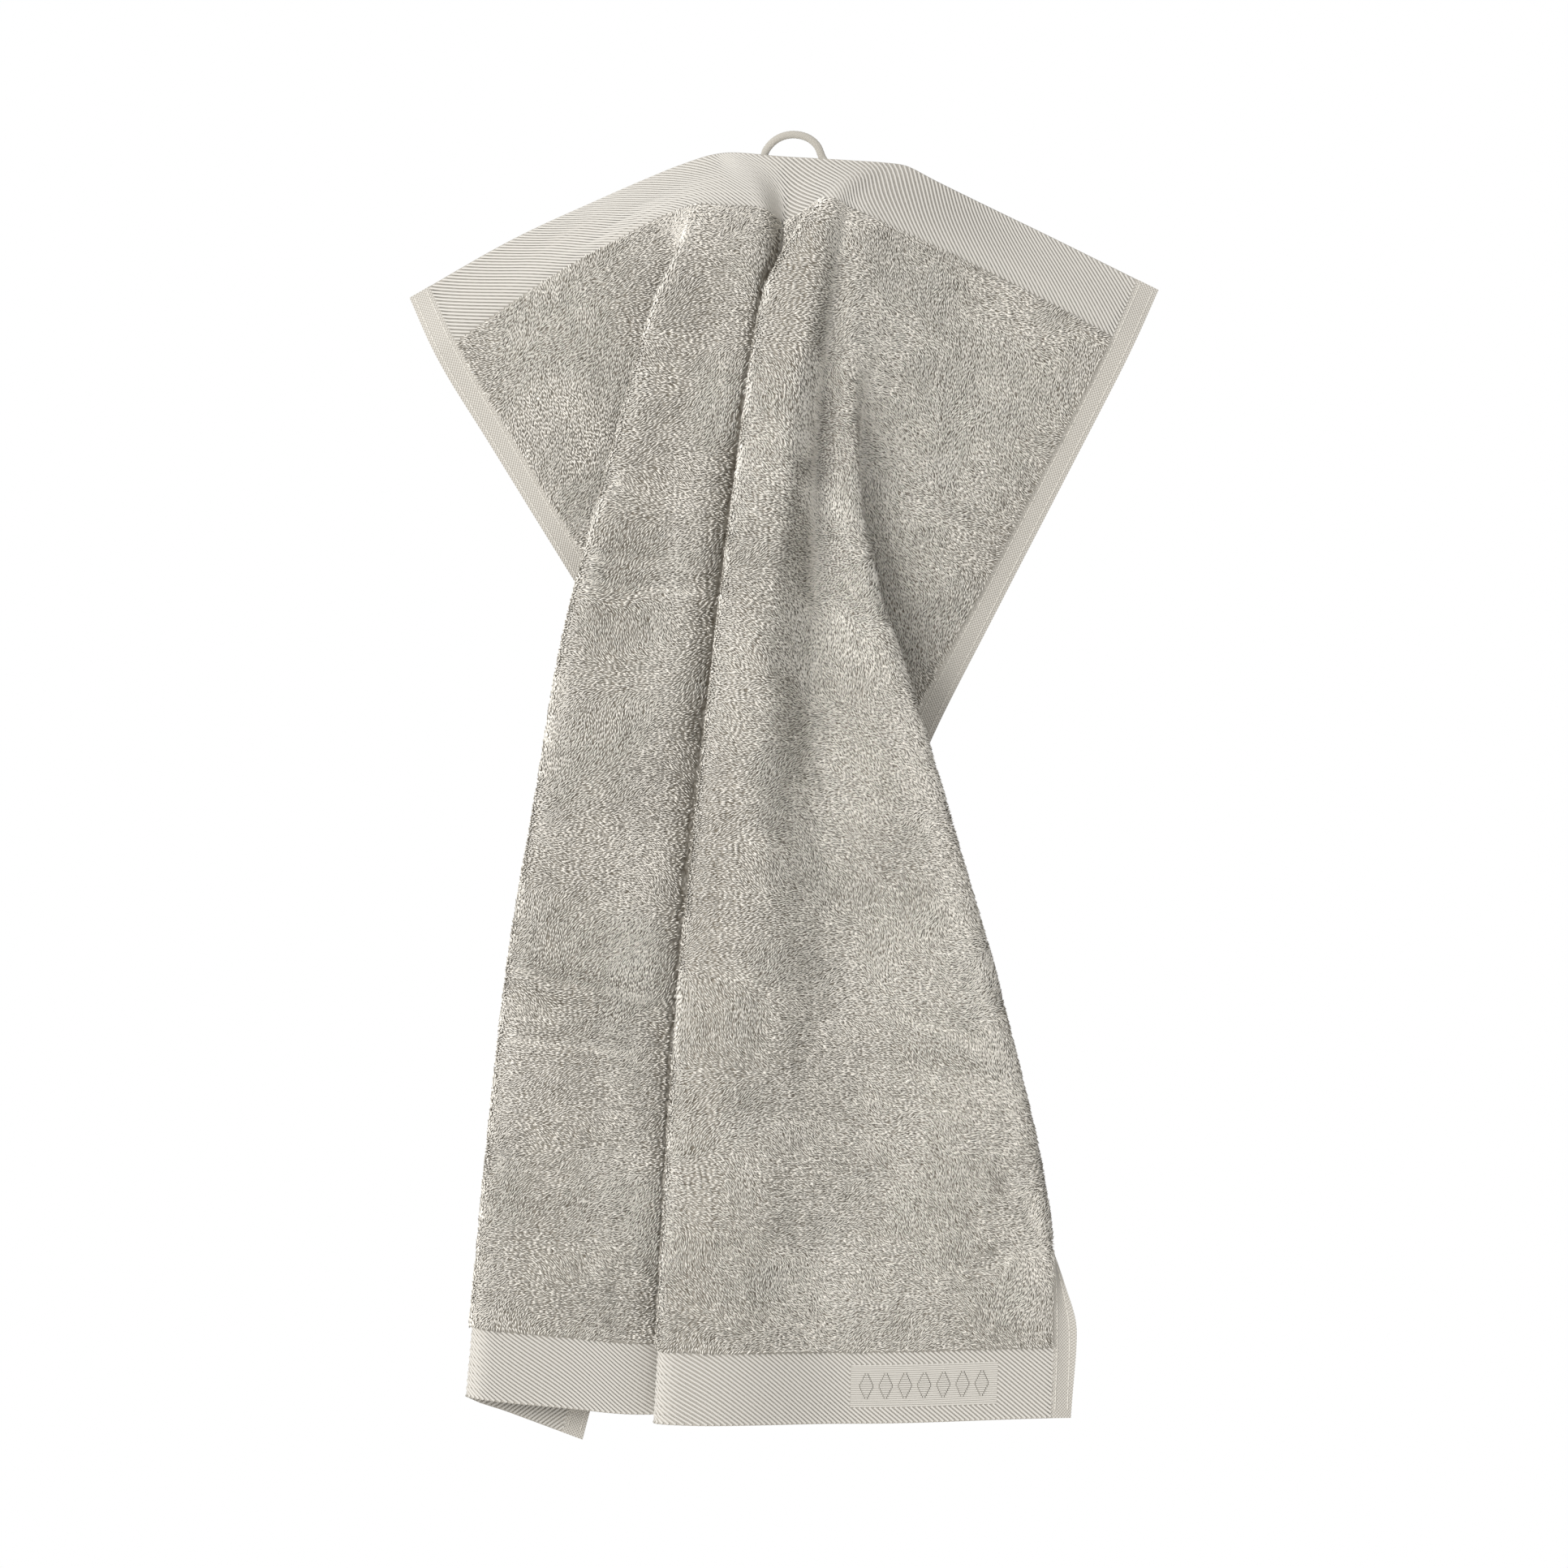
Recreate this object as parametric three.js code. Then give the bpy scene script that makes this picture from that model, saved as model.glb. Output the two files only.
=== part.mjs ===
// Hand towel hung by the loop at the middle of its top hem.
// Millimetres, +Z up, front of the towel towards -Y.
// The origin is the inside top of the loop, where a hook would bear.
import * as THREE from 'three';

// ---- The cloth before it is hung: across runs from the left hem, down from the top edge.
const CLOTH_WIDTH = 400;
const CLOTH_LENGTH = 600;
const TOP_BORDER = 32;            // woven border without pile, across the top
const BOTTOM_BORDER = 33.5;       // the same across the bottom
const SIDE_HEM = 10.5;            // flat hem without pile, down each side
const PILE_STEP = 2.5;            // width over which the pile rises beside a border or hem

// ---- Thickness of the cloth
const TERRY_THICK = 4.2;          // ground weave with loops standing on both faces
const BORDER_THICK = 1.8;
const HEM_THICK = 2.4;            // turned over and sewn

// ---- How the cloth is lofted
const FINE_STEPS = 240;           // places across one section before it is softened
const SOFTEN_PASSES = 8;          // each pass rounds the folds a little more
const FULL_ROLL = 2.5;            // from this radius on, a fold is wholly turned over
const LEAST_REACH = 1.5;          // from a fold to the places beside it
const ROOM_SHARE = 0.4;           // most of the way to the next fold that they may take
const INSIDE_BEND = 0.75;         // share of a fold's radius that the pile inside it may fill
const SLIGHT_BEND = 0.05;         // bends gentler than this never press the pile
const PRESSED_STEP = 0.12;        // least share of its step that a face keeps inside a fold
const PRESS_PASSES = 12;
const BORDER_ROWS = 4;
const PILE_ROWS = 26;
const HEM_COLUMNS = 3;
const COLUMNS_UP_TO = {           // grid columns between one fold and the next
  leftBackFold: 7,
  leftRidge: 7,
  centreFold: 8,
  centreRidge: 6,
  centreValley: 7,
  rightRidge: 6,
  rightBackFold: 5,
  farHem: 6,
};
const COLUMN_ROOM = 1;            // least width of a column where a fold nears a hem

// ---- The folds. Each runs down the cloth; a row is one place on it:
// [down, across, side, depth, height, roll], with depth negative towards the front.
// Roll is the radius of a tight fold. Its layers lie to one side of it, and the cloth
// after it, counted across, is the layer in front (1) or the one behind (-1).
const FOLDS = {
  leftHem: { rows: [
    [0, 0, -182, 1, -76],
    [32, 0, -169, -9, -104],
    [80, 0, -144, -6, -145],
    [160, 0, -102, -2, -213],
    [250, 0, -55, 0, -289],
    [306, 0, -28, -3, -335],
    [400, 0, -51, -11, -427],
    [500, 0, -75, -13, -521],
    [600, 0, -100, -10, -616],
  ] },
  leftWing: { rows: [
    [0, 58, -131, 3, -46.5],
    [32, 60, -116, -13, -68],
    [80, 58, -94, -11, -114],
    [160, 38, -71, -4, -193],
    [250, 15, -44, -1, -281],
    [306, 30, -54, -9, -325],
    [400, 30, -79, -15, -416],
    [600, 20, -118, -13, -609],
  ] },
  leftBackFold: { layers: -1, after: 1, rows: [
    [0, 112, -85, 3, -26, 0],
    [32, 118, -65, -19, -40, 0],
    [80, 117, -43, -17, -84, 2.5],
    [160, 75, -41, -9, -174, 4],
    [250, 29, -33, -6, -274, 4],
    [306, 60, -80, -19, -315, 0],
    [400, 60, -106, -19, -405, 0],
    [600, 41, -136, -16, -602, 0],
  ] },
  leftRidge: { layers: 1, after: 1, rows: [
    [0, 140, -56, 0, -14, 0],
    [32, 143, -46, -23, -33, 0],
    [80, 136, -64, -27, -77, 3],
    [160, 125, -86, -30, -156, 4.5],
    [250, 112, -109, -32, -245, 4.5],
    [306, 104, -118.5, -31, -301, 4.5],
    [400, 91, -134, -30, -395, 4.5],
    [500, 76, -145, -28, -495, 4.5],
    [600, 62, -154.5, -24, -594, 4],
  ] },
  leftPanel: { rows: [
    [0, 158, -38, -2, -8],
    [32, 160, -31, -23, -34],
    [80, 160, -38, -25, -81],
    [160, 152, -57, -29, -159],
    [250, 148, -71, -31, -248],
    [400, 135, -89, -31, -399],
    [600, 110, -106, -26, -600],
  ] },
  leftPanelEdge: { rows: [
    [0, 176, -29, -2, -7],
    [32, 176, -17, -23, -34.5],
    [80, 178, -20, -27, -84],
    [160, 174, -35, -28, -161],
    [250, 171, -49, -28, -248],
    [400, 165, -61, -28, -401],
    [600, 145, -72, -24, -603],
  ] },
  centreFold: { layers: -1, after: 1, rows: [
    [0, 200, -5, -3, -9, 0],
    [32, 200, -5, -11, -43, 1],
    [80, 198, -5, -13, -86, 2],
    [160, 192, -18, -19, -158, 3],
    [250, 188, -31, -21, -245, 3],
    [400, 184, -40, -23, -399, 3.2],
    [600, 173, -44, -22, -603, 3.2],
  ] },
  centreRidge: { layers: 1, after: 1, rows: [
    [0, 232, 30, -4, -11.5, 0],
    [32, 228, 12.5, -27, -32, 1],
    [80, 224, -13, -34, -76, 3],
    [160, 217, -25, -39, -153, 4.5],
    [250, 210, -36, -38, -241, 4.5],
    [400, 202, -53, -36, -401, 4],
    [600, 195, -66, -34, -606, 3.5],
  ] },
  centreCrest: { rows: [
    [0, 240, 39, -4, -12],
    [32, 236, 18.5, -29, -31],
    [80, 244, 8.5, -41, -80],
    [160, 240, -4.5, -45, -157],
    [250, 232, -17, -45, -245],
    [400, 223, -31, -42, -402],
    [600, 218, -41, -38, -607],
  ] },
  centreValley: { rows: [
    [0, 247, 46, -3, -12.5],
    [32, 246, 24, -25, -34.5],
    [80, 256, 15.5, -28, -87],
    [160, 263, 9, -22, -163],
    [250, 266, 10, -21, -250],
    [400, 280, 24, -26, -405],
    [600, 290, 28, -26, -607],
  ] },
  rightRidge: { layers: -1, after: -1, rows: [
    [0, 254, 53, -3, -13, 0],
    [32, 256, 31, -26, -37.5, 0],
    [80, 270, 28, -32, -85, 0.5],
    [160, 293, 30, -31, -168, 3.5],
    [205, 306, 38.5, -32, -213, 4.2],
    [250, 320, 53.5, -33, -259, 4.5],
    [333, 345, 78.5, -32, -343, 4.5],
    [400, 365, 97, -31, -408, 4],
    [515, 388, 120.5, -28, -520, 2.5],
    [560, 390, 122.5, -30, -564, 0],
    [600, 390, 121, -31, -604, 0],
  ] },
  rightBackFold: { layers: 1, after: -1, rows: [
    [0, 270, 66, -3, -20, 0],
    [32, 272, 46, -23, -44, 0],
    [80, 282, 37, -28, -93, 0.5],
    [160, 306, 25, -22, -171, 3],
    [250, 355, 22, -18, -271, 4],
    [333, 372, 55, -19, -353, 0],
    [400, 382, 84, -21, -415, 0],
    [515, 395, 121, -23, -520, 0],
    [560, 394, 127, -29, -564, 0],
    [600, 394, 125, -30, -604, 0],
  ] },
  rightWing: { rows: [
    [0, 335, 112, 3, -42],
    [32, 335, 101, -13, -69],
    [80, 340, 85, -12, -115],
    [160, 353, 60, -13, -192],
    [250, 378, 43, -6, -282],
    [333, 386, 44, -14, -358],
    [400, 391, 76, -18, -418],
    [515, 398, 119, -22, -520],
    [600, 398, 129, -29, -604],
  ] },
  rightHem: { rows: [
    [0, 400, 173, 1, -72],
    [32, 400, 160, -8, -100],
    [80, 400, 138, -5, -143],
    [160, 400, 101, -3, -214],
    [250, 400, 62, -3, -292],
    [333, 400, 34, -10, -363],
    [400, 400, 69, -15, -422],
    [515, 400, 118, -21, -520],
    [535, 400, 127, -25, -540],
    [560, 400, 133, -28, -564],
    [600, 400, 130, -29, -604],
  ] },
};

// ---- The hanging loop
const LOOP_WIDE = 3.6;            // of the tape, seen from the front
const LOOP_THICK = 2.2;
const LOOP_FOOT = 9;              // length sewn to the back of the hem
const LOOP_FEET = [192, 220];     // where the feet stand across the cloth
const LOOP_ARCH = [              // middle of the tape: side, height
  [-13.7, -7],
  [-10.5, -2.2],
  [-6, 0.8],
  [0, 1.95],
  [6.5, 0.5],
  [11, -3.2],
  [13.6, -9],
];
const LOOP_STEPS = 40;
const LOOP_SIDES = 12;
const LOOP_EASE = 0.6;            // room for the slant of the hem under the width of the tape
const GAP = 0.3;                  // between pieces that are sewn together

// A smooth curve through rising stops that never swings past its values.
function glide(stops, values, at) {
  const last = stops.length - 1;
  if (at <= stops[0]) {
    return values[0];
  }
  if (at >= stops[last]) {
    return values[last];
  }
  let k = 0;
  while (at > stops[k + 1]) {
    k += 1;
  }
  const slope = (i) => (values[i + 1] - values[i]) / (stops[i + 1] - stops[i]);
  const tangent = (i) => {
    if (i === 0) {
      return slope(0);
    }
    if (i === last) {
      return slope(last - 1);
    }
    const before = slope(i - 1);
    const after = slope(i);
    if (before * after <= 0) {
      return 0;
    }
    const wide = stops[i + 1] - stops[i];
    const prior = stops[i] - stops[i - 1];
    const a = 2 * wide + prior;
    const b = wide + 2 * prior;
    return (a + b) / (a / before + b / after);
  };
  const step = stops[k + 1] - stops[k];
  const t = (at - stops[k]) / step;
  const t2 = t * t;
  const t3 = t2 * t;
  return (2 * t3 - 3 * t2 + 1) * values[k]
    + (t3 - 2 * t2 + t) * step * tangent(k)
    + (3 * t2 - 2 * t3) * values[k + 1]
    + (t3 - t2) * step * tangent(k + 1);
}

// Where every fold stands at one distance down the cloth. A tight fold has a place before
// and after it, a half turn apart, which draw away from it towards the two layers.
function foldsAt(down) {
  const folds = Object.values(FOLDS).map(({ rows, layers = 0, after = 0 }) => {
    const stops = rows.map((row) => row[0]);
    const at = (column) => glide(stops, rows.map((row) => row[column] ?? 0), down);
    return { across: at(1), place: [at(2), at(3), at(4)], roll: at(5), layers, after };
  });
  return folds.flatMap((fold, k) => {
    const { across, place, roll, layers, after } = fold;
    if (!layers) {
      return [fold];
    }
    const rolled = Math.min(roll / FULL_ROLL, 1);
    const beside = (way) => {
      const next = folds[k + way];
      const room = Math.abs(next.across - across);
      const reach = Math.min((Math.PI / 2) * roll + LEAST_REACH, ROOM_SHARE * room);
      const turned = [place[0] + layers * roll, place[1] - after * way * roll];
      const straight = place.map((value, c) => value + ((next.place[c] - value) * reach) / room);
      return {
        across: across + way * reach,
        place: straight.map((value, c) => (c < 2 ? value + (turned[c] - value) * rolled : value)),
      };
    };
    return [beside(-1), fold, beside(1)];
  });
}

// One section across the cloth: a soft line through the folds.
function section(down) {
  const folds = foldsAt(down);
  const stops = folds.map((fold) => fold.across);
  let line = [];
  for (let i = 0; i <= FINE_STEPS; i += 1) {
    const across = (CLOTH_WIDTH * i) / FINE_STEPS;
    line.push([0, 1, 2].map((c) => glide(stops, folds.map((fold) => fold.place[c]), across)));
  }
  for (let pass = 0; pass < SOFTEN_PASSES; pass += 1) {
    line = line.map((point, i) => {
      if (i === 0 || i === FINE_STEPS) {
        return point;
      }
      return point.map((value, c) => (line[i - 1][c] + 2 * value + line[i + 1][c]) / 4);
    });
  }
  return line;
}

// The middle of the cloth at one place of a section.
function pointAcross(line, across) {
  const place = (FINE_STEPS * across) / CLOTH_WIDTH;
  const k = Math.min(Math.floor(place), FINE_STEPS - 1);
  return new THREE.Vector3(...line[k]).lerp(new THREE.Vector3(...line[k + 1]), place - k);
}

function clothPoint(across, down) {
  return pointAcross(section(down), across);
}

// Even steps from one place to another, both ends counted.
function evenSteps(from, to, steps) {
  return Array.from({ length: steps + 1 }, (_, i) => from + ((to - from) * i) / steps);
}

// Grid rows: even in the borders and in the pile, with the rise of the pile between.
function gridRows() {
  const pileEnd = CLOTH_LENGTH - BOTTOM_BORDER;
  return [
    ...evenSteps(0, TOP_BORDER, BORDER_ROWS),
    ...evenSteps(TOP_BORDER + PILE_STEP, pileEnd - PILE_STEP, PILE_ROWS),
    ...evenSteps(pileEnd, CLOTH_LENGTH, BORDER_ROWS),
  ];
}

// How far across the cloth one fold runs at one distance down.
function acrossAt(rows, down) {
  return glide(rows.map((row) => row[0]), rows.map((row) => row[1]), down);
}

// Grid columns of one row: they run along the folds, and stand closer together beside them.
function gridColumns(down) {
  const pileStart = SIDE_HEM + PILE_STEP;
  const pileEnd = CLOTH_WIDTH - pileStart;
  const columns = [...evenSteps(0, SIDE_HEM, HEM_COLUMNS), pileStart];
  let left = Object.values(COLUMNS_UP_TO).reduce((sum, count) => sum + count, 0);
  for (const [name, count] of Object.entries(COLUMNS_UP_TO)) {
    const from = columns[columns.length - 1];
    left -= count;
    const fold = name === 'farHem' ? pileEnd : acrossAt(FOLDS[name].rows, down);
    const to = THREE.MathUtils.clamp(fold, from + count * COLUMN_ROOM, pileEnd - left * COLUMN_ROOM);
    evenSteps(0, 1, count).slice(1).forEach((t) => {
      const close = (1 - Math.cos(Math.PI * t)) / 2;
      columns.push(from + ((to - from) * (t + close)) / 2);
    });
  }
  columns.push(...evenSteps(CLOTH_WIDTH - SIDE_HEM, CLOTH_WIDTH, HEM_COLUMNS));
  return columns;
}

// Thin in the borders and side hems, thick where the pile stands.
function thickness(across, down) {
  if (down <= TOP_BORDER || down >= CLOTH_LENGTH - BOTTOM_BORDER) {
    return BORDER_THICK;
  }
  if (across <= SIDE_HEM || across >= CLOTH_WIDTH - SIDE_HEM) {
    return HEM_THICK;
  }
  return TERRY_THICK;
}

// How sharply one row bends at a column, as a vector towards the inside of the bend.
function bend(row, c) {
  if (c === 0 || c === row.length - 1) {
    return new THREE.Vector3();
  }
  const before = new THREE.Vector3().subVectors(row[c], row[c - 1]);
  const after = new THREE.Vector3().subVectors(row[c + 1], row[c]);
  const run = (before.length() + after.length()) / 2;
  return after.normalize().sub(before.normalize()).divideScalar(run);
}

// Inside a tight fold a face would run back over itself: there its steps are pressed short.
function pressFolds(face, middle) {
  for (let pass = 0; pass < PRESS_PASSES; pass += 1) {
    for (let c = 1; c < face.length - 2; c += 1) {
      const onward = new THREE.Vector3().subVectors(middle[c + 1], middle[c]);
      const least = PRESSED_STEP * onward.length();
      const lack = least - new THREE.Vector3().subVectors(face[c + 1], face[c]).dot(onward.normalize());
      if (lack > 0) {
        face[c].addScaledVector(onward, -lack / 2);
        face[c + 1].addScaledVector(onward, lack / 2);
      }
    }
  }
}

function towelGeometry() {
  const rows = gridRows();
  const columns = rows.map((down) => gridColumns(down));
  const middle = rows.map((down, r) => {
    const line = section(down);
    return columns[r].map((across) => pointAcross(line, across));
  });
  const lastRow = rows.length - 1;
  const lastColumn = columns[0].length - 1;
  const normalAt = (r, c) => {
    const along = new THREE.Vector3().subVectors(
      middle[r][Math.min(c + 1, lastColumn)],
      middle[r][Math.max(c - 1, 0)],
    );
    const downward = new THREE.Vector3().subVectors(
      middle[Math.min(r + 1, lastRow)][c],
      middle[Math.max(r - 1, 0)][c],
    );
    return downward.cross(along).normalize();
  };
  const places = [];
  for (const side of [1, -1]) {
    for (let r = 0; r <= lastRow; r += 1) {
      const face = middle[r].map((point, c) => {
        const out = normalAt(r, c).multiplyScalar(side);
        const room = INSIDE_BEND / Math.max(bend(middle[r], c).dot(out), SLIGHT_BEND);
        const half = Math.min(thickness(columns[r][c], rows[r]) / 2, room);
        return point.clone().addScaledVector(out, half);
      });
      pressFolds(face, middle[r]);
      face.forEach((point) => places.push(...point));
    }
  }
  const wide = lastColumn + 1;
  const backStart = wide * (lastRow + 1);
  const faces = [];
  const quad = (a, b, c, d) => faces.push(a, b, c, a, c, d);
  for (let r = 0; r < lastRow; r += 1) {
    for (let c = 0; c < lastColumn; c += 1) {
      const a = r * wide + c;
      quad(a, a + wide, a + wide + 1, a + 1);
      quad(backStart + a, backStart + a + 1, backStart + a + wide + 1, backStart + a + wide);
    }
  }
  for (let c = 0; c < lastColumn; c += 1) {
    const low = lastRow * wide + c;
    quad(c, c + 1, backStart + c + 1, backStart + c);
    quad(low, backStart + low, backStart + low + 1, low + 1);
  }
  for (let r = 0; r < lastRow; r += 1) {
    const left = r * wide;
    const right = left + lastColumn;
    quad(left, backStart + left, backStart + left + wide, left + wide);
    quad(right, right + wide, backStart + right + wide, backStart + right);
  }
  const geometry = new THREE.BufferGeometry();
  geometry.setAttribute('position', new THREE.Float32BufferAttribute(places, 3));
  geometry.setIndex(faces);
  geometry.computeVertexNormals();
  return geometry;
}

// Unit vectors of the cloth at one place: out of its back, and down along it.
function clothFrame(across, down) {
  const reach = 1;
  const here = clothPoint(across, down);
  const along = clothPoint(across + reach, down).sub(clothPoint(across - reach, down));
  const downward = clothPoint(across, down + reach).sub(clothPoint(across, Math.max(0, down - reach)));
  const back = along.cross(downward).normalize();
  return { here, back };
}

// The tape's feet lie flat on the back of the hem, and its arch stands over the top edge.
function loopGeometry() {
  const standOff = BORDER_THICK / 2 + GAP + LOOP_EASE + LOOP_THICK / 2;
  const foot = (across, downs) => downs.map((down) => {
    const { here, back } = clothFrame(across, down);
    return here.addScaledVector(back, standOff);
  });
  const left = foot(LOOP_FEET[0], [LOOP_FOOT, LOOP_FOOT / 2, 2]);
  const right = foot(LOOP_FEET[1], [2, LOOP_FOOT / 2, LOOP_FOOT]);
  const arch = LOOP_ARCH.map(([side, height]) => new THREE.Vector3(side, 0, height));
  const path = new THREE.CatmullRomCurve3([...left, ...arch, ...right], false, 'centripetal');
  const tape = new THREE.Shape();
  tape.absellipse(0, 0, LOOP_WIDE / 2, LOOP_THICK / 2, 0, 2 * Math.PI);
  const geometry = new THREE.ExtrudeGeometry(tape, {
    steps: LOOP_STEPS,
    curveSegments: LOOP_SIDES / 2,
    extrudePath: path,
    bevelEnabled: false,
  });
  return geometry;
}

const group = new THREE.Group();
const towel = new THREE.Mesh(
  towelGeometry(),
  new THREE.MeshStandardMaterial({ color: 0xb8b4ab, roughness: 0.95, metalness: 0 }),
);
towel.name = 'towel';
group.add(towel);

const loop = new THREE.Mesh(
  loopGeometry(),
  new THREE.MeshStandardMaterial({ color: 0xa19d95, roughness: 0.9, metalness: 0 }),
);
loop.name = 'hanging_loop';
group.add(loop);

export default group;
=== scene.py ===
# %% [markdown]
# # A hand towel hung by its loop
# The towel is one rectangle of terry cloth, 400 by 600 mm, that hangs from a small tape
# at the middle of its top hem, so it falls in deep folds to either side. The steps are
# the cloth's middle surface, the ground cloth, the pile, the twill borders, the sewing
# and the tape, then finishes, light and camera. Sizes are in millimetres until a mesh
# is made, because that is how a weaver gives them.

import bmesh
import bpy
import numpy as np
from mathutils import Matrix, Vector
from mathutils.bvhtree import BVHTree


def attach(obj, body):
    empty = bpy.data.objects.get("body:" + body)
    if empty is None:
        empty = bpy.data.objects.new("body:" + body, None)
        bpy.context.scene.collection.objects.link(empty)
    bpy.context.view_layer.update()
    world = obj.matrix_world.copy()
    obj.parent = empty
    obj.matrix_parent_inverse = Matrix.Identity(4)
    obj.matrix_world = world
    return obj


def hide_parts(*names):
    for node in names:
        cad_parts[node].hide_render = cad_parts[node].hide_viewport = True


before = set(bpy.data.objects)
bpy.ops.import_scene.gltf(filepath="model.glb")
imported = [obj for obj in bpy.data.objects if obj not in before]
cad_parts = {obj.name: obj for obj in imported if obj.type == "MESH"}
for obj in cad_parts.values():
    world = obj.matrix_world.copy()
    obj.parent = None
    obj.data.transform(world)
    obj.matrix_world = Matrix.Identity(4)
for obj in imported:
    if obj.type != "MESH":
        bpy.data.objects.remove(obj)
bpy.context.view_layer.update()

MM = 0.001

# %% [markdown]
# The cloth is laid out flat first. Across is counted from its left hem and down from its
# top edge. A flat border runs along the top and the bottom, and a flat hem down each side,
# where the weaver leaves out the pile.

# %% Cloth sizes
CLOTH_WIDTH = 400.0
CLOTH_LENGTH = 600.0
TOP_BORDER = 32.0
BOTTOM_BORDER = 33.5
SIDE_HEM = 10.5
PILE_TOP = TOP_BORDER
PILE_BOTTOM = CLOTH_LENGTH - BOTTOM_BORDER
PILE_MIDDLE = CLOTH_LENGTH / 2
BORDER_HALF = 0.8
HEM_HALF = 1.1
TERRY_HALF = 1.45
PILE_STEP = 0.8
FRONT, BACK = 1, -1

# How the sections are drawn: their places across and down, and the room of a tight fold.
FINE_STEPS = 240
FINE_ROWS = 300
SOFTEN_PASSES = 8
FULL_ROLL = 2.5
LEAST_REACH = 1.5
ROOM_SHARE = 0.4

# %% [markdown]
# Each fold runs down the cloth from the top edge to the bottom one. A row of its table is
# one place on it: down, across, side, depth, height and roll. Depth is negative towards the
# front, and roll is the radius of a tight fold. The first number beside a fold's name says
# to which side of it its layers lie, and the second whether the cloth after it is the
# layer in front (1) or behind (-1). The solids are made from the same table, so the
# dressed cloth lies on them.

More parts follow.
